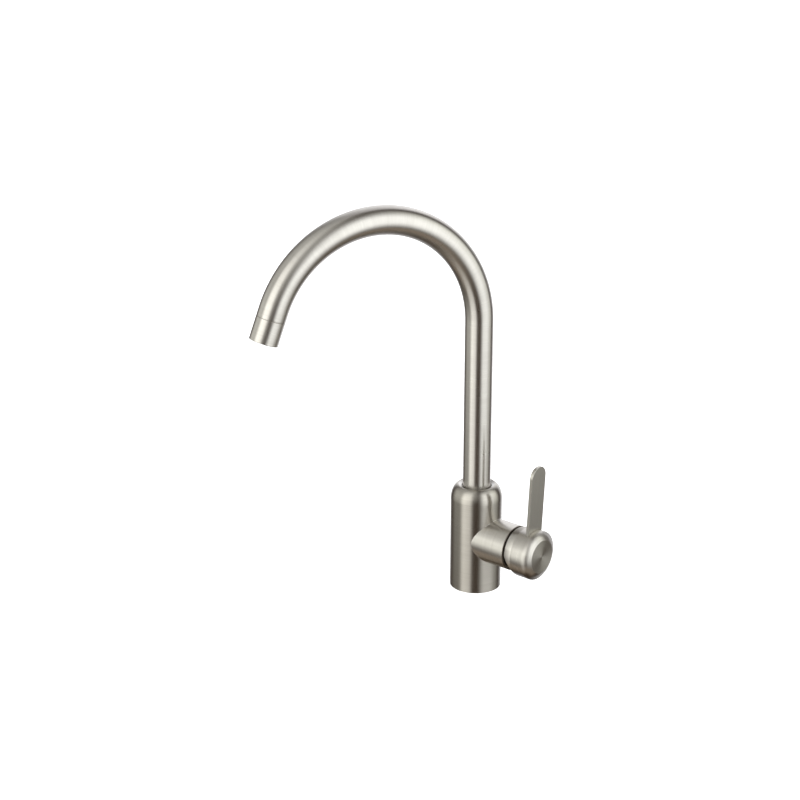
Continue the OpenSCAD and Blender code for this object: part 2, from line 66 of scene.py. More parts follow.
COLUMN_R = column_hi.x
CREST_Z = column_hi.z
BRANCH_Z = (branch_lo.z + branch_hi.z) / 2
BRANCH_R = (branch_hi.z - branch_lo.z) / 2
BRANCH_END = branch_hi.x
HUB_START = hub_lo.x
HUB_FACE = hub_hi.x
HUB_R = (hub_hi.z - hub_lo.z) / 2
LEVER_W = blade_hi.y - blade_lo.y
LEVER_TOP = blade_hi.z
TUBE_BOTTOM = tube_lo.z
SEAT_SCREW_Z = (seat_screw_lo.z + seat_screw_hi.z) / 2
HUB_SCREW_X = (hub_screw_lo.x + hub_screw_hi.x) / 2

# Walls and details that follow the construction's own sizes
COLUMN_WALL = 2 * MM
CAVITY_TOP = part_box("spout_seat")[1].z
SHOULDER_Z = 84.5 * MM
SHOULDER_IN = 7.8 * MM
SHOULDER_UP = 14 * MM
NECK_R = glide_hi.x + 0.05 * MM
LIP_W = 2.95 * MM
LIP_DROP = 1.65 * MM
BRANCH_BORE_R = BRANCH_R - 2 * MM
WELD_R = 0.35 * MM
EDGE = 0.35 * MM
# The two rims at the seam have a wider edge, and the hub's bulges by this share of it
RIM_EDGE = 0.7 * MM
RIM_BULGE = 0.29
FLARE_LEN = 8.3 * MM
FLARE_EASE = 3 * MM
# Length of the hub's wall that follows the cut-back rim
FLARED_ROWS = 11.5 * MM
BEVEL_LEN = 3.9 * MM
BEVEL_IN = 7.2 * MM
# How far the bevel's shading eases in over the wall, and over the bevel itself
EASE_WALL = 3.4 * MM
EASE_BEVEL = 7.2 * MM
RELIEF_ANGLE = math.radians(25.5)
HUB_FLOOR = 61 * MM
SOCKET_END = 69.8 * MM
SOCKET_R = 5.1 * MM
SCREW_HOLE_R = 2.5 * MM
LEVER_T = 3 * MM
LEVER_LEAN = math.radians(2.75)
LEVER_EDGE = 0.45 * MM
LEVER_X = HUB_FACE - 7.9 * MM
TONGUE = 5 * MM
SLOT_GAP = 0.06 * MM
# Length of blade that counts as one turn on its brushing map
BLADE_RUN = 120 * MM

TUBE_R = 12.5 * MM
TUBE_WALL = 1.2 * MM
BEND_R = 100 * MM
BEND_SWEEP = math.radians(159.3)
SPOUT_TURN = math.radians(-111.2)
RISER_TOP = tube_hi.z - TUBE_R - BEND_R
SPOUT_TAIL = 27.7 * MM
SLEEVE_LEN = 20 * MM
SLEEVE_WALL = 1.9 * MM
TUBE_TAIL = SPOUT_TAIL - SLEEVE_LEN
SEAM = 0.05 * MM
THREAD_R = TUBE_R - 1.5 * MM
THREAD_DEPTH = 9.4 * MM
OUTLET_LIP_T = 1.6 * MM
OUTLET_R = TUBE_R - SLEEVE_WALL - 1.35 * MM
# Rounds at the seam, round the outlet and inside it, and at the thread's start
SEAM_EDGE, OUTLET_EDGE, BORE_EDGE, THREAD_EDGE = 0.3 * MM, 0.5 * MM, 0.4 * MM, 0.2 * MM

# Steps of a full turn and of a rounded edge
TURNS = 192
ROUND_STEPS = 4
FULL = 2 * math.pi
FULL_TURN = np.linspace(0, FULL, TURNS + 1)
STEP = FULL / TURNS


class Skin:
    """Gathers patches of surface into one closed mesh with true normals and a brushing map.

    The map's first direction runs along the brushed lines, and its second one across them.
    """

    def __init__(self, finish):
        self.finish = finish
        self.places, self.points, self.finishes = {}, [], []
        self.faces, self.normals, self.maps = [], [], []

    def vertex(self, point):
        key = tuple(np.round(point * 1e6).astype(int))
        if key not in self.places:
            self.places[key] = len(self.points)
            self.points.append(tuple(point))
        return self.places[key]

    def patch(self, points, normals, brushing):
        """Adds a grid of quads, from arrays of rows by columns by coordinates.

        One normal, or one row of them, can do for the whole grid.
        """
        points, brushing = np.asarray(points, float), np.asarray(brushing, float)
        normals = np.broadcast_to(np.asarray(normals, float), points.shape)
        rows, columns = points.shape[:2]
        index = [[self.vertex(points[i, j]) for j in range(columns)] for i in range(rows)]
        for i in range(rows - 1):
            for j in range(columns - 1):
                corners = [(i, j), (i, j + 1), (i + 1, j + 1), (i + 1, j)]
                kept = []
                for corner in corners:
                    if index[corner[0]][corner[1]] not in [index[a][b] for a, b in kept]:
                        kept.append(corner)
                if len(kept) < 3:
                    continue
                a, b, c = (points[k] for k in kept[:3])
                if len(kept) == 4:
                    facing = np.cross(points[kept[2]] - a, points[kept[3]] - b)
                else:
                    facing = np.cross(b - a, c - a)
                if facing @ sum(normals[k] for k in kept) < 0:
                    kept.reverse()
                self.faces.append([index[a][b] for a, b in kept])
                self.finishes.append(self.finish)
                self.normals += [normals[k] for k in kept]
                self.maps += [brushing[k] for k in kept]

    def reshade(self, rule):
        """Gives corners the normals that a rule finds for their points and old normals."""
        corners = np.array(self.points)[[index for face in self.faces for index in face]]
        self.normals = list(rule(corners, np.asarray(self.normals)))

    def mesh(self, name):
        made = bpy.data.meshes.new(name)
        made.from_pydata(self.points, [], self.faces)
        brushing = made.uv_layers.new(name="UVMap")
        brushing.uv.foreach_set("vector", np.asarray(self.maps, "f").ravel())
        used = list(dict.fromkeys(self.finishes))
        for finish in used:
            made.materials.append(finish)
        made.polygons.foreach_set("material_index", [used.index(f) for f in self.finishes])
        made.shade_smooth()
        normals = np.asarray(self.normals)
        normals /= np.linalg.norm(normals, axis=1)[:, None]
        made.normals_split_custom_set([tuple(n) for n in normals])
        return made


def joined(*parts):
    """Arrays and numbers joined as the coordinates of points or of places on the map."""
    return np.stack(np.broadcast_arrays(*parts), axis=-1)


def put(name, data):
    """A new object in the scene."""
    made = bpy.data.objects.new(name, data)
    bpy.context.scene.collection.objects.link(made)
    return made


def piece(name, mesh, body, slot, *nodes):
    """Puts a finished mesh into the scene, riding on its body in place of plain nodes."""
    made = put(name, mesh)
    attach(made, body)
    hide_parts(*nodes)


def rounded(corners, radii):
    """Strokes round a closed outline of square corners, some of its outer corners rounded."""
    corners = [np.array(c) for c in corners]
    turn = np.linspace(0, np.pi / 2, ROUND_STEPS + 1)[:, None]
    arcs = []
    for i, (corner, radius) in enumerate(zip(corners, radii)):
        before, after = corners[i - 1] - corner, corners[i + 1 - len(corners)] - corner
        before, after = before / np.linalg.norm(before), after / np.linalg.norm(after)
        spokes = -after * np.cos(turn) - before * np.sin(turn)
        arcs.append((corner + (before + after + spokes) * radius, spokes))
    strokes = []
    for i, (points, spokes) in enumerate(arcs):
        if radii[i]:
            strokes.append((points, spokes))
        first, last = points[-1], arcs[i + 1 - len(arcs)][0][0]
        run = (last - first) / np.linalg.norm(last - first)
        strokes.append(line(first, last, (-run[1], run[0])))
    return strokes


class Axis:
    """A line that shapes are turned about: where it starts, where it runs and where 0 is."""

    def __init__(self, origin, along, zero):
        self.origin, self.along, self.zero = (np.array(v, float) for v in (origin, along, zero))
        self.quarter = np.cross(self.along, self.zero)

    def spoke(self, angle):
        return self.zero * np.cos(angle)[..., None] + self.quarter * np.sin(angle)[..., None]

    def at(self, height, radius, angle):
        """Points at heights along the axis, radii and angles, broadcast together."""
        height, radius, angle = np.broadcast_arrays(height, radius, angle)
        return self.origin + self.along * height[..., None] + self.spoke(angle) * radius[..., None]

    def turned(self, skin, stroke, angles=FULL_TURN, across=0.0):
        """Turns a stroke of (height, radius) points; returns the map's next place across."""
        points, normals = stroke
        run = np.concatenate([[0], np.cumsum(np.linalg.norm(np.diff(points, axis=0), axis=1))])
        angles = angles[None, :]
        height, radius = points[:, :1], points[:, 1:]
        facing = self.along * normals[:, None, :1] + self.spoke(angles) * normals[:, None, 1:]
        skin.patch(self.at(height, radius, angles), facing,
                   joined(angles / FULL, across + run[:, None]))
        return across + run[-1]

    def wall(self, skin, heights, radius, angles=FULL_TURN, inward=False):
        """A straight round wall, or a part of one."""
        normals = np.tile([0.0, -1 if inward else 1], (len(heights), 1))
        self.turned(skin, (joined(heights, radius), normals), angles, heights[0])

    def holed(self, skin, heights, radius, angles, hole, inward=False, rings=6):
        """A part of a round wall with a hole; hole gives (angle, height) for each direction."""
        frame_points = rectangle(angles, heights)
        middle = [(angles[0] + angles[-1]) / 2, (heights[0] + heights[-1]) / 2]
        half = [(angles[-1] - angles[0]) / 2, (heights[-1] - heights[0]) / 2]
        rim = np.array([hole((a - middle[0]) / half[0], (h - middle[1]) / half[1])
                        for a, h in frame_points])
        share = np.linspace(0, 1, rings + 1)[:, None, None]
        grid = rim[None] * (1 - share) + frame_points[None] * share
        angle, height = grid[..., 0], grid[..., 1]
        facing = self.spoke(angle) * (-1 if inward else 1)
        skin.patch(self.at(height, radius, angle), facing, joined(angle / FULL, height))
        return rim


def rectangle(angles, heights):
    """The rim of a grid of angles and heights, once round and back to its start."""
    low, high = heights[0], heights[-1]
    first, last = angles[0], angles[-1]
    rim = [(a, low) for a in angles[:-1]] + [(last, h) for h in heights[:-1]]
    rim += [(a, high) for a in angles[:0:-1]] + [(first, h) for h in heights[:0:-1]]
    return np.array(rim + rim[:1])


def step_angles(first, last):
    """The angles of the turn's steps from one to another."""
    return np.arange(first, last + 1) * STEP


def rim_turns(columns, rows):
    """The direction in which each point of a grid's rim lies, seen from its middle."""
    rim = rectangle(np.linspace(-1, 1, columns), np.linspace(-1, 1, rows))
    return np.unwrap([math.atan2(a, h) for a, h in rim])


def round_hole(middle_turn, middle, hole_r, wall_r):
    """A round hole in a round wall: its (angle, height) for each direction."""
    def rim(a, h):
        turn = math.atan2(a, h)
        return (middle_turn + math.asin(hole_r * math.sin(turn) / wall_r),
                middle + hole_r * math.cos(turn))
    return rim


def line(start, end, facing, steps=1):
    """A straight stroke from one (height, radius) point to another."""
    share = np.linspace(0, 1, steps + 1)[:, None]
    points = np.array(start) * (1 - share) + np.array(end) * share
    return points, np.tile(np.array(facing, float), (steps + 1, 1))


def quarter(middle, radius, start, end):
    """A rounded edge about a (height, radius) middle, from one angle to another."""
    angles = np.radians(np.linspace(start, end, ROUND_STEPS + 1))
    spokes = joined(np.cos(angles), np.sin(angles))
    return np.array(middle) + spokes * radius, spokes


COLUMN = Axis((0, 0, 0), (0, 0, 1), (1, 0, 0))
BRANCH = Axis((0, 0, BRANCH_Z), (1, 0, 0), (0, 0, 1))


def column_and_branch():
    """The column, its open shoulder and the branch that is welded to its side."""
    # The column gets a darker copy of the spout's steel: painted shade
    skin = Skin(shaded_column_steel)
    inside_r = COLUMN_R - COLUMN_WALL
    # Half the height, and half the steps across, of the wall parts with the branch's hole and
    # with the screw's
    half_patch, half_screw_patch = 24 * MM, 3.7 * MM
    patch_steps, screw_steps = 38, 5
    low, high = BRANCH_Z - half_patch, BRANCH_Z + half_patch
    front = step_angles(-patch_steps, patch_steps)
    rest = step_angles(patch_steps, TURNS - patch_steps)
    quarter_turn = TURNS // 4
    back = step_angles(quarter_turn - screw_steps, quarter_turn + screw_steps)
    beside = step_angles(quarter_turn + screw_steps, TURNS + quarter_turn - screw_steps)
    band = np.linspace(low, high, 17)
    screw_low, screw_high = SEAT_SCREW_Z - half_screw_patch, SEAT_SCREW_Z + half_screw_patch
    screw_band = np.linspace(screw_low, screw_high, 5)

    # The outer wall and the inner one, each with the branch's hole and the screw's
    weld_r = BRANCH_R + WELD_R
    COLUMN.holed(skin, band, COLUMN_R, front,
                 round_hole(0, BRANCH_Z, weld_r, COLUMN_R + WELD_R), rings=8)
    COLUMN.holed(skin, band, inside_r, front,
                 round_hole(0, BRANCH_Z, BRANCH_BORE_R, inside_r), inward=True)
    for wall_r, inward, top in ((COLUMN_R, False, SHOULDER_Z), (inside_r, True, CAVITY_TOP)):
        bottom = 0 if inward else EDGE
        COLUMN.wall(skin, np.linspace(bottom, low, 7), wall_r, inward=inward)
        COLUMN.wall(skin, band, wall_r, rest, inward=inward)
        COLUMN.wall(skin, np.linspace(high, screw_low, 2), wall_r, inward=inward)
        COLUMN.wall(skin, screw_band, wall_r, beside, inward=inward)
        COLUMN.holed(skin, screw_band, wall_r, back,
                     round_hole(math.pi / 2, SEAT_SCREW_Z, SCREW_HOLE_R, wall_r),
                     inward=inward, rings=3)
        COLUMN.wall(skin, np.linspace(screw_high, top, 2), wall_r, inward=inward)

    # The screw's hole through the back of the wall
    turns = rim_turns(len(back), len(screw_band))
    spokes = joined(-np.sin(turns), 0, np.cos(turns))
    rims = []
    for wall_r in (COLUMN_R, inside_r):
        out = np.sqrt(wall_r**2 - (SCREW_HOLE_R * np.sin(turns)) ** 2)
        rims.append(spokes * SCREW_HOLE_R + joined(0, out, SEAT_SCREW_Z))
    run = joined(turns / FULL, 0)
    skin.patch(rims, -spokes, [run, run + [0, COLUMN_WALL]])

    # Foot, cavity's ceiling, neck, lip and shoulder
    COLUMN.turned(skin, line((0, inside_r), (0, COLUMN_R - EDGE), (-1, 0)))
    COLUMN.turned(skin, quarter((EDGE, COLUMN_R - EDGE), EDGE, 180, 90))
    COLUMN.turned(skin, line((CAVITY_TOP, inside_r), (CAVITY_TOP, NECK_R), (-1, 0)))
    lip_z = CREST_Z - LIP_DROP
    COLUMN.turned(skin, line((CAVITY_TOP, NECK_R), (lip_z, NECK_R), (0, -1)))
    slope = math.atan2(LIP_DROP, LIP_W)
    ellipse_r = COLUMN_R - SHOULDER_IN
    crest_r = NECK_R + LIP_W
    last = math.acos((crest_r - ellipse_r) / SHOULDER_IN)
    # The crest itself is a small round between the slope and the shoulder
    crest_round = 0.5 * MM
    bridge_from = (CREST_Z - crest_round * math.sin(slope),
                   crest_r - crest_round * math.cos(slope))
    # The lip's slope gets a lighter copy of the steel: a painted highlight of the light from above
    skin.finish = lip_highlight_steel
    across = COLUMN.turned(skin, line((lip_z, NECK_R), bridge_from,
                                      (math.cos(slope), -math.sin(slope))))
    skin.finish = shaded_column_steel
    cut = last - crest_round / SHOULDER_UP
    angles = np.linspace(cut, 0, 33)
    points = joined(SHOULDER_Z + SHOULDER_UP * np.sin(angles),
                    ellipse_r + SHOULDER_IN * np.cos(angles))
    normals = joined(np.sin(angles) / SHOULDER_UP, np.cos(angles) / SHOULDER_IN)
    normals /= np.linalg.norm(normals, axis=1)[:, None]
    bridge, tilt = curve_between(bridge_from, (math.sin(slope), math.cos(slope)),
                                 points[0], (-normals[0][1], normals[0][0]))
    across = COLUMN.turned(skin, (bridge, -tilt), across=across)
    COLUMN.turned(skin, (points, normals), across=across)

    # The weld's round, the branch, its end and its bore
    skin.finish = branch_steel
    turns = rim_turns(len(front), len(band))
    side, up = np.sin(turns), np.cos(turns)
    ball = joined(np.sqrt((COLUMN_R + WELD_R) ** 2 - (weld_r * side) ** 2),
                  weld_r * side, weld_r * up)
    inset = COLUMN_R / (COLUMN_R + WELD_R)
    on_column = ball * [inset, inset, 1]
    on_branch = joined(ball[:, 0], BRANCH_R * side, BRANCH_R * up)
    spoke_a, spoke_b = (on_column - ball) / WELD_R, (on_branch - ball) / WELD_R
    rows, facing, brushing = [], [], []
    for share in np.linspace(0, 1, 6):
        spoke = spoke_a * (1 - share) + spoke_b * share
        spoke /= np.linalg.norm(spoke, axis=1)[:, None]
        rows.append(ball + spoke * WELD_R + [0, 0, BRANCH_Z])
        facing.append(-spoke)
        brushing.append(joined(turns / FULL, share * WELD_R))
    skin.patch(rows, facing, brushing)

    def rings(starts, ends, steps, radius, sign):
        shares = np.linspace(0, 1, steps + 1)[:, None]
        x = starts[None] * (1 - shares) + ends * shares
        points = joined(x, radius * side, radius * up) + [0, 0, BRANCH_Z]
        skin.patch(points, joined(0, side, up) * sign, joined(turns / FULL, x))

    rings(ball[:, 0], BRANCH_END - RIM_EDGE, 8, BRANCH_R, 1)
    bore_from = np.sqrt(inside_r**2 - (BRANCH_BORE_R * side) ** 2)
    rings(bore_from, BRANCH_END - EDGE / 2, 4, BRANCH_BORE_R, -1)
    across = BRANCH_END
    # The branch's rim at the seam is painted near-black: painted shade of the gap between branch
    # and hub
    skin.finish = seam_shade_steel
    for stroke in (quarter((BRANCH_END - RIM_EDGE, BRANCH_R - RIM_EDGE), RIM_EDGE, 90, 0),
                   line((BRANCH_END, BRANCH_R - RIM_EDGE), (BRANCH_END, BRANCH_BORE_R + EDGE / 2),
                        (1, 0)),
                   quarter((BRANCH_END - EDGE / 2, BRANCH_BORE_R + EDGE / 2), EDGE / 2, 0, -90)):
        across = BRANCH.turned(skin, stroke, -turns, across)
    return skin.mesh("column_and_branch")


def curve_between(start, start_run, end, end_run, steps=5):
    """A smooth stroke that leaves one point and meets another in given directions."""
    start, end = np.asarray(start), np.asarray(end)
    reach = np.linalg.norm(end - start)
    start_run = np.asarray(start_run, float)
    end_run = np.asarray(end_run, float)
    if end_run @ (end - start) < 0:
        end_run = -end_run
    t = np.linspace(0, 1, steps + 1)[:, None]
    out, back = start + start_run * reach / 3, end - end_run * reach / 3
    points = (start * (1 - t) ** 3 + out * 3 * t * (1 - t) ** 2
              + back * 3 * t**2 * (1 - t) + end * t**3)
    run = (out - start) * (1 - t) ** 2 + (back - out) * 2 * t * (1 - t) + (end - back) * t**2
    run /= np.linalg.norm(run, axis=1)[:, None]
    return points, joined(-run[:, 1], run[:, 0])


def hub():
    """The handle's hub: a flared cup with a bevelled, turned face and a cut-back rim."""
    skin = Skin(handle_steel)
    slope = math.tan(RELIEF_ANGLE)
    bevel_x = HUB_FACE - BEVEL_LEN
    flare_x = HUB_START + FLARE_LEN
    swell = (HUB_R - BRANCH_R) / FLARE_LEN
    flare_turn = math.atan(swell)

    def rim_start(radius, flared, spare=0.0):
        """How far along the hub its cut-back rim lies, for each angle about the axis."""
        down = np.maximum(0, -np.cos(FULL_TURN))
        if not flared:
            return HUB_START + spare + down * radius * slope
        along = down * radius * slope / (1 - swell * down * slope)
        straight = down * HUB_R * slope
        return HUB_START + spare + np.where(along < FLARE_LEN, along, straight)

    def cup_wall(starts, end, steps, radius_of, lean_of, sign):
        """A wall that runs from the cut-back rim to a square end."""
        shares = np.linspace(0, 1, steps + 1)[:, None]
        x = starts[None] * (1 - shares) + end * shares
        lean = lean_of(x)
        facing = BRANCH.spoke(FULL_TURN) * (sign * np.cos(lean))[..., None]
        facing = facing - BRANCH.along * np.sin(lean)[..., None]
        skin.patch(BRANCH.at(x, radius_of(x), FULL_TURN), facing, joined(FULL_TURN / FULL, x))

    def flare(x):
        return np.minimum(HUB_R, BRANCH_R + (x - HUB_START) * swell)

    def flare_lean(x):
        """The flare's slope, which eases into the straight wall over a short stretch."""
        return flare_turn * np.clip((flare_x - x) / FLARE_EASE + 0.5, 0, 1)

    outer_start = rim_start(BRANCH_R, True, RIM_EDGE)
    row_x = HUB_START + FLARED_ROWS
    cup_wall(outer_start, row_x, 8, flare, flare_lean, 1)

    # The rim: a rounded outer edge and the flat that faces the branch
    inner_start = rim_start(BRANCH_BORE_R, False)
    outer_flat = rim_start(BRANCH_R - RIM_EDGE, False)
    corner = BRANCH.at(outer_start, flare(outer_start), FULL_TURN)
    flat_rim = BRANCH.at(outer_flat, BRANCH_R - RIM_EDGE, FULL_TURN)
    bore_rim = BRANCH.at(inner_start, BRANCH_BORE_R, FULL_TURN)
    # Above the axis the flat is square to it; below, it turns to its slope in a short stretch
    lower = np.clip(-np.cos(FULL_TURN) * 12, 0, 1)[:, None]
    plane = np.array([-1.0, 0, 0]) * (1 - lower) + lower * np.array(
        [-math.cos(RELIEF_ANGLE), 0, -math.sin(RELIEF_ANGLE)])
    plane /= np.linalg.norm(plane, axis=1)[:, None]
    spokes = BRANCH.spoke(FULL_TURN)
    around = joined(FULL_TURN / FULL, 0)
    rows, facings, runs = [], [], []
    for share in np.linspace(0, 1, 4):
        bulge = RIM_EDGE * RIM_BULGE * math.sin(share * math.pi)
        rows.append(corner * (1 - share) + flat_rim * share + (spokes - BRANCH.along) * bulge)
        facings.append(spokes * (1 - share) + plane * share)
        runs.append(around + [0, share * RIM_EDGE])
    # The hub's rim at the seam is painted near-black: painted shade of the gap between hub and
    # branch
    skin.finish = seam_shade_steel
    skin.patch(rows, facings, runs)
    skin.patch([flat_rim, bore_rim], plane, [around, around + [0, BRANCH_R - BRANCH_BORE_R]])
    skin.finish = handle_steel

    # The cup's inside, its floor and the socket for the stem
    cup_wall(inner_start, HUB_FLOOR, 3, lambda x: BRANCH_BORE_R, lambda x: 0 * x, -1)
    BRANCH.turned(skin, line((HUB_FLOOR, BRANCH_BORE_R), (HUB_FLOOR, SOCKET_R), (-1, 0), 3))
    half_turn = TURNS // 2
    hole_steps, socket_steps = 6, 32
    under = step_angles(half_turn - hole_steps, half_turn + hole_steps)
    socket_under = step_angles(half_turn - socket_steps, half_turn + socket_steps)
    socket_rest = step_angles(half_turn + socket_steps, TURNS + half_turn - socket_steps)

    def screw_rim(wall_r):
        return round_hole(math.pi, HUB_SCREW_X, SCREW_HOLE_R, wall_r)

    socket_band = np.linspace(HUB_FLOOR, SOCKET_END, 5)
    BRANCH.wall(skin, socket_band, SOCKET_R, socket_rest, inward=True)
    socket_rim = BRANCH.holed(skin, socket_band, SOCKET_R, socket_under, screw_rim(SOCKET_R),
                              inward=True, rings=2)
    BRANCH.turned(skin, line((SOCKET_END, SOCKET_R), (SOCKET_END, 0), (-1, 0)))

    # The straight wall, with the blade's slot on top and the screw's hole underneath
    slot_steps = 16
    # How far the round between wall and bevel reaches each way, and the one at the face
    soft, crisp = 1.0 * MM, 0.4 * MM
    band = np.linspace(row_x, bevel_x - soft, 9)
    above = step_angles(-slot_steps, slot_steps)
    left = step_angles(slot_steps, half_turn - hole_steps)
    right = step_angles(half_turn + hole_steps, TURNS - slot_steps)
    half_w, half_t = LEVER_W / 2 + SLOT_GAP, LEVER_T / 2 / math.cos(LEVER_LEAN) + SLOT_GAP

    def slot_edge(a, h):
        """The slot's outline in the wall, as (angle, height)."""
        y = a * half_w
        rise = math.sqrt(HUB_R**2 - y**2) - HUB_R
        x = LEVER_X + rise * math.tan(LEVER_LEAN) - half_t + SLOT_GAP + h * half_t
        return math.asin(y / HUB_R), x

    BRANCH.wall(skin, band, HUB_R, left)
    BRANCH.wall(skin, band, HUB_R, right)
    slot_rim = BRANCH.holed(skin, band, HUB_R, above, slot_edge, rings=5)
    hole_rim = BRANCH.holed(skin, band, HUB_R, under, screw_rim(HUB_R), rings=4)
    hole_outer = BRANCH.at(hole_rim[:, 1], HUB_R, hole_rim[:, 0])
    screw_pipe(skin, hole_outer, rim_turns(len(under), len(band)),
               BRANCH.at(socket_rim[:, 1], SOCKET_R, socket_rim[:, 0]),
               rim_turns(len(socket_under), len(socket_band)))
    top = BRANCH.at(slot_rim[:, 1], HUB_R, slot_rim[:, 0])
    depth = top[:, 2] - (BRANCH_Z + HUB_R - TONGUE - SLOT_GAP)
    bottom = top - joined(depth * math.tan(LEVER_LEAN), 0, depth)
    middle = bottom[:-1].mean(axis=0)
    inward = middle - bottom
    inward[:, 2] = 0
    steep = np.abs(inward[:, 1]) / half_w > np.abs(inward[:, 0]) / half_t
    facing = joined(np.where(steep, 0, np.sign(inward[:, 0])),
                    np.where(steep, np.sign(inward[:, 1]), 0), 0)
    skin.patch([top, bottom], facing, [top[:, :2], top[:, :2] + [0, TONGUE]])
    floor = np.stack(np.broadcast_arrays(bottom, middle))
    skin.patch(floor, (0, 0, 1), floor[..., :2])

    # Bevel and face: the bevel meets the wall in a small round and the face crisply
    face_r = HUB_R - BEVEL_IN
    corner, face_edge = np.array([bevel_x, HUB_R]), np.array([HUB_FACE, face_r])
    run = (face_edge - corner) / np.linalg.norm(face_edge - corner)
    first, second = np.array([band[-1], HUB_R]), corner + run * soft
    third, fourth = face_edge - run * crisp, face_edge - np.array([0, crisp])
    across = BRANCH.turned(skin, curve_between(first, (1, 0), second, run, 10), across=first[0])
    across = BRANCH.turned(skin, line(second, third, (-run[1], run[0]), 8), across=across)
    across = BRANCH.turned(skin, curve_between(third, run, fourth, (0, -1), 5), across=across)
    # The turned face gets a darker copy of the hub's steel: painted shade
    skin.finish = shaded_face_steel
    BRANCH.turned(skin, line(fourth, (HUB_FACE, 0), (1, 0), 6), across=across)

    def eased(points, normals):
        """The wall and the bevel are brushed as one, so their shading turns slowly."""
        spokes = (points - [0, 0, BRANCH_Z]) * [0, 1, 1]
        radius = np.linalg.norm(spokes, axis=1)
        spokes = spokes / np.maximum(radius, 1e-9)[:, None]
        # Only corners that face outward, outside the flat face
        outside = ((normals * spokes).sum(axis=1) > 0.45) & (radius > face_r + EDGE)
        past = points[:, 0] - bevel_x
        down = np.maximum(0, HUB_R - radius)
        place = np.where(down > 0.01 * MM, np.hypot(np.maximum(past, 0), down), past)
        share = np.clip((place + EASE_WALL) / (EASE_WALL + EASE_BEVEL), 0, 1)
        turn = share * share * (3 - 2 * share) * math.atan2(BEVEL_IN, BEVEL_LEN)
        slow = spokes * np.cos(turn)[:, None] + BRANCH.along * np.sin(turn)[:, None]
        return np.where((outside & (share > 0))[:, None], slow, normals)

    skin.reshade(eased)
    return skin.mesh("hub")


def screw_pipe(skin, outer, outer_turns, inner, inner_turns):
    """The round hole between two rims that have different numbers of points."""
    if outer_turns[-1] < outer_turns[0]:
        outer_turns, outer = outer_turns[::-1], outer[::-1]
    if inner_turns[-1] < inner_turns[0]:
        inner_turns, inner = inner_turns[::-1], inner[::-1]
    inner_turns = inner_turns + np.round((outer_turns[0] - inner_turns[0]) / FULL) * FULL
    i = j = 0
    while i < len(outer) - 1 or j < len(inner) - 1:
        forward = j == len(inner) - 1 or (
            i < len(outer) - 1 and outer_turns[i + 1] <= inner_turns[j + 1])
        third = outer[i + 1] if forward else inner[j + 1]
        corners = np.array([[outer[i], inner[j]], [third, third]])
        skin.patch(corners, [HUB_SCREW_X, 0, 0] - corners * [1, 1, 0], corners[..., :2])
        i, j = (i + 1, j) if forward else (i, j + 1)


def blade():
    """The flat lever: straight sides, a half-round top and softened edges."""
    skin = Skin(blade_steel)
    half_w, edge = LEVER_W / 2, LEVER_EDGE
    height = (LEVER_TOP - BRANCH_Z - HUB_R) / math.cos(LEVER_LEAN) - half_w
    sides = np.linspace(-TONGUE, height, 14)
    arc = np.linspace(0, np.pi, 49)[1:-1]
    outline = np.array(
        [(half_w, z, 1.0, 0.0) for z in sides]
        + [(half_w * math.cos(a), height + half_w * math.sin(a), math.cos(a), math.sin(a))
           for a in arc]
        + [(-half_w, z, -1.0, 0.0) for z in sides[::-1]])
    place, out = outline[:, :2], outline[:, 2:]
    up = np.array([math.sin(LEVER_LEAN), 0, math.cos(LEVER_LEAN)])
    face = np.array([math.cos(LEVER_LEAN), 0, -math.sin(LEVER_LEAN)])
    across = np.array([0, 1.0, 0])
    root = np.array([LEVER_X, 0, BRANCH_Z + HUB_R])

    def at(flat, back):
        return root + across * flat[..., :1] + up * flat[..., 1:] - face * back

    outward = across * out[:, :1] + up * out[:, 1:]
    quarter_steps = np.linspace(0, np.pi / 2, 6)
    rows, facings = [], []
    for side, turns in ((1, quarter_steps), (-1, quarter_steps[::-1])):
        for turn in turns:
            depth = edge * (1 - math.cos(turn))
            rows.append(at(place - out * edge * (1 - math.sin(turn)),
                           depth if side > 0 else LEVER_T - depth))
            facings.append(outward * math.sin(turn) + face * side * math.cos(turn))
    rows, facings = np.array(rows), np.array(facings)
    runs = joined(place[:, 1] / BLADE_RUN, np.arange(len(rows))[:, None] * edge)
    low, high = len(sides), len(sides) + len(arc)
    # The blade's straight side edges get a darker copy of its steel: painted shade
    for finish, part in ((blade_side_shade_steel, slice(0, low)),
                         (blade_steel, slice(low - 1, high + 1)),
                         (blade_side_shade_steel, slice(high, None))):
        skin.finish = finish
        skin.patch(rows[:, part], facings[:, part], runs[:, part])
    skin.finish = blade_steel
    # Each flat is a ladder of quads between the two sides of the outline
    inset, half = place - out * edge, (len(place) + 1) // 2
    shares = np.linspace(0, 1, 7)[:, None, None]
    grid = inset[:half] * (1 - shares) + inset[::-1][:half] * shares
    for back, facing in ((0.0, face), (LEVER_T, -face)):
        skin.patch(at(grid, back), facing, grid[..., ::-1] / [BLADE_RUN, 1])
    # The tongue's end, hidden in the slot
    ends = np.stack([rows[:, 0], rows[:, -1]])
    skin.patch(ends, -up, ends[..., :2])
    return skin.mesh("blade")


def spout_axis():
    """The axis of the spout's tail, from the end of the bend out through the outlet."""
    ahead = np.array([math.cos(SPOUT_TURN), math.sin(SPOUT_TURN), 0])
    up = np.array([0, 0, 1.0])
    start = ahead * BEND_R * (1 - math.cos(BEND_SWEEP)) + up * (
        RISER_TOP + BEND_R * math.sin(BEND_SWEEP))
    along = ahead * math.sin(BEND_SWEEP) + up * math.cos(BEND_SWEEP)
    return Axis(start, along, np.cross(along, np.cross(ahead, up)))


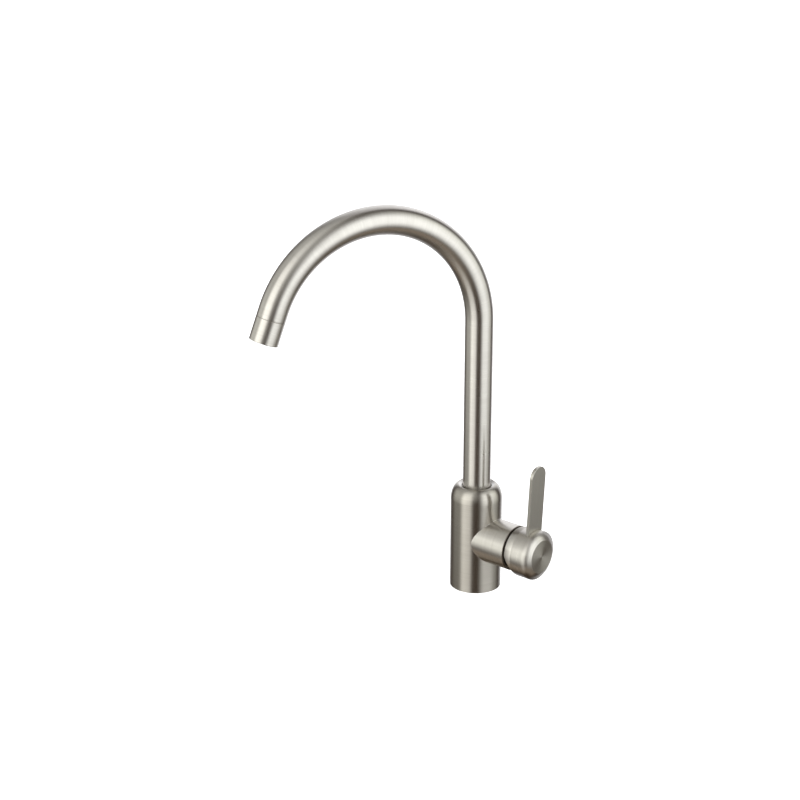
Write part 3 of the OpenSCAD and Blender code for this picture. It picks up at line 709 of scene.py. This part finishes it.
def sleeve():
    """The aerator's sleeve: threaded inside, with a rounded lip at the outlet."""
    skin = Skin(steel)
    axis = spout_axis()
    start, end = TUBE_TAIL + SEAM, SPOUT_TAIL
    bore_r = TUBE_R - SLEEVE_WALL
    lip = end - OUTLET_LIP_T
    shoulder = TUBE_TAIL + SEAM + THREAD_DEPTH
    corners = [(start, TUBE_R), (end, TUBE_R), (end, OUTLET_R), (lip, OUTLET_R),
               (lip, bore_r), (shoulder, bore_r), (shoulder, THREAD_R), (start, THREAD_R)]
    radii = [SEAM_EDGE, OUTLET_EDGE, BORE_EDGE, 0, 0, 0, 0, THREAD_EDGE]
    across = 0.0
    for stroke in rounded(corners, radii):
        across = axis.turned(skin, stroke, across=across)
    return skin.mesh("sleeve")


class Sums:
    """Arithmetic on a node tree's sockets, written as ordinary sums."""

    def __init__(self, tree, socket):
        self.tree, self.socket = tree, socket

    def do(self, operation, *others):
        node = self.tree.nodes.new("ShaderNodeMath")
        node.operation = operation
        for slot, value in zip(node.inputs, (self, *others)):
            if isinstance(value, Sums):
                self.tree.links.new(value.socket, slot)
            else:
                slot.default_value = value
        return Sums(self.tree, node.outputs[0])

    def into(self, socket):
        self.tree.links.new(self.socket, socket)

    def __add__(self, other):
        return self.do("ADD", other)

    def __sub__(self, other):
        return self.do("SUBTRACT", other)

    def __mul__(self, other):
        return self.do("MULTIPLY", other)

    def __truediv__(self, other):
        return self.do("DIVIDE", other)


def coordinates(tree, vector):
    """The three coordinates of a vector's socket."""
    split = tree.nodes.new("ShaderNodeSeparateXYZ")
    tree.links.new(vector, split.inputs[0])
    return [Sums(tree, output) for output in split.outputs]


def vector_of(tree, *sums):
    """The socket of a vector with the given coordinates."""
    joint = tree.nodes.new("ShaderNodeCombineXYZ")
    for value, socket in zip(sums, joint.inputs):
        value.into(socket)
    return joint.outputs[0]


def spout_tree(material):
    """Geometry nodes that bend a sheet into the spout: out along the tube and back inside."""
    tree = bpy.data.node_groups.new("goose_neck_tube", "GeometryNodeTree")
    tree.is_modifier = True
    sizes = [("Radius", TUBE_R), ("Wall", TUBE_WALL), ("Foot height", TUBE_BOTTOM),
             ("Riser top", RISER_TOP), ("Bend radius", BEND_R), ("Sweep", BEND_SWEEP),
             ("Tail", TUBE_TAIL), ("Heading", SPOUT_TURN),
             ("Steps around", 128), ("Steps along", 240)]
    tree.interface.new_socket("Geometry", in_out="OUTPUT", socket_type="NodeSocketGeometry")
    for name, value in sizes:
        kind = "NodeSocketInt" if isinstance(value, int) else "NodeSocketFloat"
        socket = tree.interface.new_socket(name, in_out="INPUT", socket_type=kind)
        socket.default_value = value
    nodes, links = tree.nodes, tree.links
    given = nodes.new("NodeGroupInput")

    def size(name):
        return Sums(tree, given.outputs[name])

    radius, wall, foot = size("Radius"), size("Wall"), size("Foot height")
    riser_top, bend, sweep, tail = (size(n) for n in ("Riser top", "Bend radius", "Sweep", "Tail"))
    steps = size("Steps along")
    grid = nodes.new("GeometryNodeMeshGrid")
    grid.inputs["Size X"].default_value = 1
    grid.inputs["Size Y"].default_value = 1
    (size("Steps around") + 1).into(grid.inputs["Vertices X"])
    (steps * 2 + 3).into(grid.inputs["Vertices Y"])
    flat_x, flat_y, _ = coordinates(tree, nodes.new("GeometryNodeInputPosition").outputs[0])
    turn = (flat_x + 0.5) * FULL
    row = (flat_y + 0.5) * (steps * 2 + 2)
    # Rows run out along the tube's outside and then back along its bore
    share = row.do("MINIMUM", steps * 2 + 1 - row).do("MAXIMUM", 0) / steps
    straight = riser_top - foot
    length = straight + bend * sweep + tail
    run = share * length
    inner = (row - (steps * 1.5 + 1)).do("ABSOLUTE").do("LESS_THAN", steps * 0.5 + 0.25)
    reach = radius - wall * inner
    angle = ((run - straight) / bend).do("MAXIMUM", 0).do("MINIMUM", sweep)
    extra = run - straight - angle * bend
    sine, cosine = angle.do("SINE"), angle.do("COSINE")
    ahead = bend * (cosine * -1 + 1) + extra * sine + reach * turn.do("COSINE") * cosine
    height = riser_top + bend * sine + extra * cosine - reach * turn.do("COSINE") * sine
    beside = reach * turn.do("SINE")
    heading = size("Heading")
    east, north = heading.do("COSINE"), heading.do("SINE")
    place = vector_of(tree, ahead * east - beside * north, ahead * north + beside * east, height)
    stored = nodes.new("GeometryNodeStoreNamedAttribute")
    stored.data_type, stored.domain = "FLOAT2", "CORNER"
    stored.inputs["Name"].default_value = "UVMap"
    vector_in = next(s for s in stored.inputs if s.name == "Value" and s.enabled)
    links.new(grid.outputs["Mesh"], stored.inputs["Geometry"])
    links.new(vector_of(tree, turn / FULL, run), vector_in)
    moved = nodes.new("GeometryNodeSetPosition")
    links.new(stored.outputs[0], moved.inputs["Geometry"])
    links.new(place, moved.inputs["Position"])
    merged = nodes.new("GeometryNodeMergeByDistance")
    merged.inputs["Distance"].default_value = 1e-6
    links.new(moved.outputs[0], merged.inputs["Geometry"])
    realized = nodes.new("GeometryNodeRealizeInstances")
    links.new(merged.outputs[0], realized.inputs[0])
    finish = nodes.new("GeometryNodeSetMaterial")
    finish.inputs["Material"].default_value = material
    links.new(realized.outputs[0], finish.inputs["Geometry"])
    links.new(finish.outputs[0], nodes.new("NodeGroupOutput").inputs[0])
    return tree, sizes


def spout_tube(material):
    """The goose-neck tube as a plain mesh, its ends softened."""
    tree, sizes = spout_tree(material)
    holder = put("spout_maker", bpy.data.meshes.new("spout_maker"))
    bender = holder.modifiers.new("goose neck", "NODES")
    bender.node_group = tree
    sockets = {s.name: s.identifier for s in tree.interface.items_tree if s.in_out == "INPUT"}
    for name, value in sizes:
        bender[sockets[name]] = value
    soften = holder.modifiers.new("soft ends", "BEVEL")
    soften.limit_method, soften.angle_limit = "ANGLE", math.radians(50)
    soften.width, soften.segments = SEAM_EDGE, 3
    even = holder.modifiers.new("even shading", "WEIGHTED_NORMAL")
    even.keep_sharp = True
    bpy.context.view_layer.update()
    graph = bpy.context.evaluated_depsgraph_get()
    made = bpy.data.meshes.new_from_object(holder.evaluated_get(graph), depsgraph=graph)
    made.name = "spout_tube"
    made.materials.clear()
    made.materials.append(material)
    made.shade_smooth()
    bpy.data.objects.remove(holder)
    return made


def new_group(name, inputs, outputs):
    """An empty shader node group with named sockets."""
    tree = bpy.data.node_groups.new(name, "ShaderNodeTree")
    for label, value in inputs:
        kind = "NodeSocketVector" if value is None else "NodeSocketFloat"
        socket = tree.interface.new_socket(label, in_out="INPUT", socket_type=kind)
        if value is not None:
            socket.default_value = value
    for label in outputs:
        tree.interface.new_socket(label, in_out="OUTPUT", socket_type="NodeSocketFloat")
    return tree, tree.nodes.new("NodeGroupInput"), tree.nodes.new("NodeGroupOutput")


def noise(tree, vector, detail):
    """Noise at a place, whose grain is one unit wide."""
    node = tree.nodes.new("ShaderNodeTexNoise")
    node.inputs["Scale"].default_value = 1
    node.inputs["Detail"].default_value = detail
    tree.links.new(vector, node.inputs["Vector"])
    return Sums(tree, node.outputs["Fac"])


def brushed_lines_group():
    """Lines that a brush leaves round a piece: fine ones, broad ones and slow patches."""
    tree, given, result = new_group(
        "brushed_lines",
        [("Map", None), ("Girth", 0.15), ("Line length", 0.03), ("Line pitch", 0.0002)],
        ["Tone", "Height"])
    around, across, _ = coordinates(tree, given.outputs["Map"])
    angle = around * FULL
    girth, length, pitch = (Sums(tree, given.outputs[n])
                            for n in ("Girth", "Line length", "Line pitch"))
    layers = []
    for stretch, coarse, detail in ((1, 1, 2.0), (2.2, 5, 3.0), (1.2, 60, 1.0)):
        reach = girth / (length * (FULL * stretch))
        place = vector_of(tree, angle.do("COSINE") * reach, angle.do("SINE") * reach,
                          across / (pitch * coarse))
        layers.append(noise(tree, place, detail))
    fine, broad, slow = layers
    (fine * 0.35 + broad * 0.4 + slow * 0.25).into(result.inputs["Tone"])
    (fine * 0.6 + broad * 0.4).into(result.inputs["Height"])
    return tree


def grain_group():
    """Grain of cast, moulded or machined surfaces, and slow patches of tone."""
    tree, given, result = new_group(
        "grain", [("Place", None), ("Grain size", 0.0005)], ["Tone", "Height"])
    scaled, wide = (tree.nodes.new("ShaderNodeVectorMath") for _ in range(2))
    scaled.operation = wide.operation = "SCALE"
    tree.links.new(given.outputs["Place"], scaled.inputs[0])
    Sums(tree, given.outputs["Grain size"]).do("POWER", -1).into(scaled.inputs["Scale"])
    wide.inputs["Scale"].default_value = 0.06
    tree.links.new(scaled.outputs[0], wide.inputs[0])
    fine, slow = noise(tree, scaled.outputs[0], 3.0), noise(tree, wide.outputs[0], 1.0)
    (fine * 0.5 + slow * 0.5).into(result.inputs["Tone"])
    fine.into(result.inputs["Height"])
    return tree


BRUSHED_LINES = brushed_lines_group()
GRAIN = grain_group()


def new_material(name):
    made = bpy.data.materials.new(name)
    made.use_nodes = True
    return made, made.node_tree, made.node_tree.nodes["Principled BSDF"]


def spread(tone, low, high):
    """Moves a tone between 0.25 and 0.75 to between 0 and 1, then to a given range."""
    level = tone.do("SUBTRACT", 0.25).do("MULTIPLY", 2)
    return level * (high - low) + low


def patterned(name, group, dark, light, rough, scatter, depth, strength):
    """A surface whose colour, roughness and relief follow the tone and height of a pattern."""
    made, tree, shader = new_material(name)
    pattern = tree.nodes.new("ShaderNodeGroup")
    pattern.node_tree = group
    tone = Sums(tree, pattern.outputs["Tone"])
    mix = tree.nodes.new("ShaderNodeMix")
    mix.data_type = "RGBA"
    colours = [s for s in mix.inputs if s.type == "RGBA"]
    for socket, colour in zip(colours, (dark, light)):
        socket.default_value = (*colour, 1)
    spread(tone, 0, 1).into(mix.inputs["Factor"])
    tree.links.new(next(s for s in mix.outputs if s.type == "RGBA"), shader.inputs["Base Color"])
    spread(tone, rough + scatter, rough - scatter).into(shader.inputs["Roughness"])
    bump = tree.nodes.new("ShaderNodeBump")
    bump.inputs["Distance"].default_value = depth
    bump.inputs["Strength"].default_value = strength
    tree.links.new(pattern.outputs["Height"], bump.inputs["Height"])
    tree.links.new(bump.outputs[0], shader.inputs["Normal"])
    return made, tree, shader, pattern


def brushed_steel(name, dark, light, rough, pitch=0.00022, girth=0.14, length=0.03,
                  anisotropy=0.8):
    """Steel brushed along the first direction of the piece's map."""
    made, tree, shader, lines = patterned(name, BRUSHED_LINES, dark, light, rough, 0.05,
                                          0.00001, 0.35)
    brushing = tree.nodes.new("ShaderNodeUVMap")
    brushing.uv_map = "UVMap"
    tree.links.new(brushing.outputs[0], lines.inputs["Map"])
    lines.inputs["Girth"].default_value = girth
    lines.inputs["Line length"].default_value = length
    lines.inputs["Line pitch"].default_value = pitch
    tangent = tree.nodes.new("ShaderNodeTangent")
    tangent.direction_type, tangent.uv_map = "UV_MAP", "UVMap"
    tree.links.new(tangent.outputs[0], shader.inputs["Tangent"])
    shader.inputs["Metallic"].default_value = 1
    shader.inputs["Anisotropic"].default_value = anisotropy
    shader.inputs["Anisotropic Rotation"].default_value = 0.25
    return made


def grained(name, dark, light, metallic, rough, grain, depth, coat=0.0):
    """A surface with an even grain: machined metal, moulded plastic, ceramic or rubber."""
    made, tree, shader, surface = patterned(name, GRAIN, dark, light, rough, 0.06, depth, 0.4)
    where = tree.nodes.new("ShaderNodeTexCoord")
    tree.links.new(where.outputs["Object"], surface.inputs["Place"])
    surface.inputs["Grain size"].default_value = grain
    shader.inputs["Metallic"].default_value = metallic
    shader.inputs["Coat Weight"].default_value = coat
    return made


steel = brushed_steel("brushed_steel", (0.55, 0.52, 0.475), (0.66, 0.63, 0.585), 0.30)
# Darker copy of the spout's steel for the column: painted shade
shaded_column_steel = brushed_steel("shaded_column_steel", (0.43, 0.40, 0.355), (0.53, 0.50, 0.45), 0.30)
branch_steel = brushed_steel("branch_steel", (0.54, 0.51, 0.46), (0.66, 0.63, 0.58), 0.30,
                             pitch=0.0004, anisotropy=0.9)
# Near-black copy of the steel for the rims at the seam: painted shade that widens the dark gap
# line
seam_shade_steel = brushed_steel("seam_shade_steel", (0.17, 0.145, 0.12), (0.23, 0.20, 0.17), 0.34)
# Lighter copy of the steel for the lip's slope: painted highlight
lip_highlight_steel = brushed_steel("lip_highlight_steel", (0.62, 0.595, 0.56), (0.70, 0.675, 0.64), 0.28)
handle_steel = brushed_steel("handle_steel", (0.53, 0.50, 0.455), (0.64, 0.61, 0.56), 0.30,
                             pitch=0.0003, anisotropy=0.9)
# Darker copy of the hub's steel for its turned face: painted shade
shaded_face_steel = brushed_steel("turned_face_shaded_steel", (0.40, 0.375, 0.33), (0.50, 0.47, 0.42), 0.30,
                           anisotropy=0.9)
blade_steel = brushed_steel("blade_steel", (0.52, 0.495, 0.44), (0.61, 0.585, 0.53), 0.32,
                            girth=BLADE_RUN, length=0.05)
# Darker copy of the blade's steel for its side edges: painted shade
blade_side_shade_steel = brushed_steel("blade_side_shade_steel", (0.41, 0.39, 0.35), (0.49, 0.465, 0.42), 0.32,
                                 girth=BLADE_RUN, length=0.05)
# What the carried-over nodes are made of, by their slots
finishes = {
    "dark_steel": grained("dark_steel", (0.16, 0.15, 0.145), (0.24, 0.23, 0.22), 1, 0.38,
                          0.0004, 0.00001),
    "plain_steel": grained("plain_steel", (0.50, 0.50, 0.51), (0.62, 0.62, 0.63), 1, 0.28,
                           0.0003, 0.000006),
    "brass": grained("machined_brass", (0.60, 0.46, 0.22), (0.74, 0.59, 0.32), 1, 0.30,
                     0.0004, 0.00001),
    "copper": grained("drawn_copper", (0.70, 0.38, 0.24), (0.82, 0.48, 0.32), 1, 0.27,
                      0.0005, 0.000008),
    "acetal": grained("white_acetal", (0.80, 0.79, 0.75), (0.88, 0.87, 0.83), 0, 0.42,
                      0.0006, 0.00001),
    "dark_plastic": grained("dark_plastic", (0.05, 0.07, 0.09), (0.09, 0.11, 0.135), 0, 0.45,
                            0.0005, 0.00001),
    "ceramic": grained("lapped_ceramic", (0.86, 0.85, 0.82), (0.92, 0.91, 0.88), 0, 0.15,
                       0.0004, 0.000003, coat=0.4),
    "rubber": grained("rubber", (0.018, 0.018, 0.018), (0.035, 0.035, 0.036), 0, 0.62,
                      0.0004, 0.00002),
    "screw_plug": grained("plug_plastic", (0.20, 0.19, 0.18), (0.27, 0.26, 0.245), 0, 0.4,
                          0.0004, 0.00001),
}

piece("column_and_branch", column_and_branch(), "faucet", "brushed_steel",
      "faucet_body", "side_branch")
piece("goose_neck", spout_tube(steel), "spout", "brushed_steel", "spout_tube")
piece("outlet_sleeve", sleeve(), "spout", "brushed_steel", "aerator_sleeve")
piece("handle_cup", hub(), "handle", "handle_steel", "handle_hub")
piece("flat_lever", blade(), "handle", "handle_steel", "lever_blade")

for part in frame["record"]["subparts"]:
    if part["material_slot"] in finishes:
        for holder in frame["nodes"][part["node"]].material_slots:
            holder.material = finishes[part["material_slot"]]


CAMERA_PLACE = Vector((876.9, -1102.4, 669.4)) * MM
CAMERA_TURN = (math.radians(70.732), 0, math.radians(41.307))
# Width of the film and focal length, in millimetres
CAMERA_FILM, CAMERA_LENS = 36, 75.86
CAMERA_HEADING = math.atan2(CAMERA_PLACE.y, CAMERA_PLACE.x)
DOME_R = 2.4
DOME_CENTRE = Vector((0, 0, 0.18))

# Soft lights, in degrees: to the right of the camera, above the horizon, width, height,
# how far the light fades in from its upright and its level edges; then its colour
SOFT_LIGHTS = {
    "left_softbox": (-44, 2, 66, 149, 20, 68, (1.36, 1.39, 1.37)),
    "right_softbox": (53, 12, 89, 129, 31, 52, (1.80, 1.88, 1.91)),
    "rear_softbox": (173, 10, 101, 180, 35, 69, (1.30, 1.34, 1.41)),
    "left_reflector": (-84, -6, 109, 66, 38, 51, (1.26, 1.31, 1.26)),
    "right_reflector": (96, 19, 52, 135, 27, 70, (1.52, 1.59, 1.54)),
    "overhead": (-61, 62, 174, 121, 43, 6, (0.56, 0.58, 0.57)),
    "table_glow": (-7, -58, 222, 42, 3, 14, (0.26, 0.225, 0.185)),
}
ROOM_GLOW = (0.036, 0.02, 0.01)
# What the sky gives to surfaces; the camera sees it white
SKY_COLOUR, SKY_STRENGTH = (1.0, 0.93, 0.84, 1), 0.13


def soft_light_group():
    """How bright a soft light is in a direction given in degrees: 0 outside it, 1 inside."""
    tree, given, result = new_group(
        "soft_light",
        [("Direction", None), ("Sideways", 0), ("Upward", 0), ("Width", 60), ("Height", 60),
         ("Side fade", 10), ("Level fade", 10)],
        ["Brightness"])
    to_side, to_top, _ = coordinates(tree, given.outputs["Direction"])
    sideways, upward, width, height, side_fade, level_fade = (
        Sums(tree, given.outputs[n])
        for n in ("Sideways", "Upward", "Width", "Height", "Side fade", "Level fade"))
    turn = (to_side - sideways + 540).do("MODULO", 360) - 180
    rise = to_top - upward
    fades = []
    for away, extent, fade in ((turn, width, side_fade), (rise, height, level_fade)):
        ease = tree.nodes.new("ShaderNodeMapRange")
        ease.interpolation_type = "SMOOTHSTEP"
        ((extent * 0.5 - away.do("ABSOLUTE")) / fade).into(ease.inputs["Value"])
        fades.append(Sums(tree, ease.outputs["Result"]))
    (fades[0] * fades[1]).into(result.inputs["Brightness"])
    return tree


def light_dome():
    """A dome that glows where the studio's soft lights hang, seen only as reflections."""
    made, tree, shader = new_material("soft_light")
    tree.nodes.remove(shader)
    group = soft_light_group()
    where = tree.nodes.new("ShaderNodeUVMap")
    where.uv_map = "Directions"
    total = tree.nodes.new("ShaderNodeRGB")
    total.outputs[0].default_value = (*ROOM_GLOW, 1)
    for name, (*shape, colour) in SOFT_LIGHTS.items():
        lamp = tree.nodes.new("ShaderNodeGroup")
        lamp.node_tree, lamp.label = group, name
        tree.links.new(where.outputs[0], lamp.inputs["Direction"])
        for socket, value in zip(lamp.inputs[1:], shape):
            socket.default_value = value
        tinted = tree.nodes.new("ShaderNodeVectorMath")
        tinted.operation = "MULTIPLY_ADD"
        tinted.inputs[1].default_value = colour
        tree.links.new(lamp.outputs[0], tinted.inputs[0])
        tree.links.new(total.outputs[0], tinted.inputs[2])
        total = tinted
    glow = tree.nodes.new("ShaderNodeEmission")
    tree.links.new(total.outputs[0], glow.inputs["Color"])
    tree.links.new(glow.outputs[0], tree.nodes["Material Output"].inputs["Surface"])
    made.cycles.emission_sampling = "NONE"

    turns, rises = np.arange(-180, 181, 5), np.arange(-90, 91, 5)
    points, directions, faces = [], [], []
    for i, turn in enumerate(turns):
        for j, rise in enumerate(rises):
            heading, climb = CAMERA_HEADING + math.radians(turn), math.radians(rise)
            points.append(DOME_CENTRE + DOME_R * Vector((
                math.cos(heading) * math.cos(climb), math.sin(heading) * math.cos(climb),
                math.sin(climb))))
            directions.append((turn, rise))
            if i and j:
                last = len(points) - 1
                faces.append((last, last - 1, last - len(rises) - 1, last - len(rises)))
    mesh = bpy.data.meshes.new("light_dome")
    mesh.from_pydata(points, [], faces)
    layer = mesh.uv_layers.new(name="Directions")
    for corner in mesh.loops:
        layer.uv[corner.index].vector = directions[corner.vertex_index]
    mesh.materials.append(made)
    dome = put("light_dome", mesh)
    dome.visible_camera = False
    dome.visible_shadow = False


def studio():
    """A pale floor under an even white sky that the metal doesn't mirror."""
    far = 40
    mesh = bpy.data.meshes.new("floor")
    mesh.from_pydata([(-far, -far, 0), (far, -far, 0), (far, far, 0), (-far, far, 0)], [],
                     [(0, 1, 2, 3)])
    made, tree, shader = new_material("pale_floor")
    shader.inputs["Base Color"].default_value = (0.85, 0.85, 0.85, 1)
    shader.inputs["Roughness"].default_value = 1
    shader.inputs["Specular IOR Level"].default_value = 0
    shader.inputs["Emission Color"].default_value = (1, 1, 1, 1)
    shader.inputs["Emission Strength"].default_value = 1.0
    mesh.materials.append(made)
    floor = put("floor", mesh)
    floor.visible_glossy = False
    floor.visible_shadow = False
    world = bpy.data.worlds.new("studio")
    bpy.context.scene.world = world
    world.use_nodes = True
    nodes, links = world.node_tree.nodes, world.node_tree.links
    sky, dim = nodes["Background"], nodes.new("ShaderNodeBackground")
    sky.inputs["Color"].default_value = (1, 1, 1, 1)
    sky.inputs["Strength"].default_value = 1.0
    dim.inputs["Color"].default_value = SKY_COLOUR
    dim.inputs["Strength"].default_value = SKY_STRENGTH
    path, pick = nodes.new("ShaderNodeLightPath"), nodes.new("ShaderNodeMixShader")
    links.new(path.outputs["Is Camera Ray"], pick.inputs["Fac"])
    links.new(dim.outputs[0], pick.inputs[1])
    links.new(sky.outputs[0], pick.inputs[2])
    links.new(pick.outputs[0], nodes["World Output"].inputs["Surface"])
    bpy.context.scene.view_settings.view_transform = "Standard"


def photograph_camera():
    camera = bpy.data.cameras.new("camera")
    camera.sensor_width, camera.lens = CAMERA_FILM, CAMERA_LENS
    camera.clip_end = 200
    made = put("camera", camera)
    made.location, made.rotation_euler = CAMERA_PLACE, CAMERA_TURN
    bpy.context.scene.camera = made


light_dome()
studio()
photograph_camera()
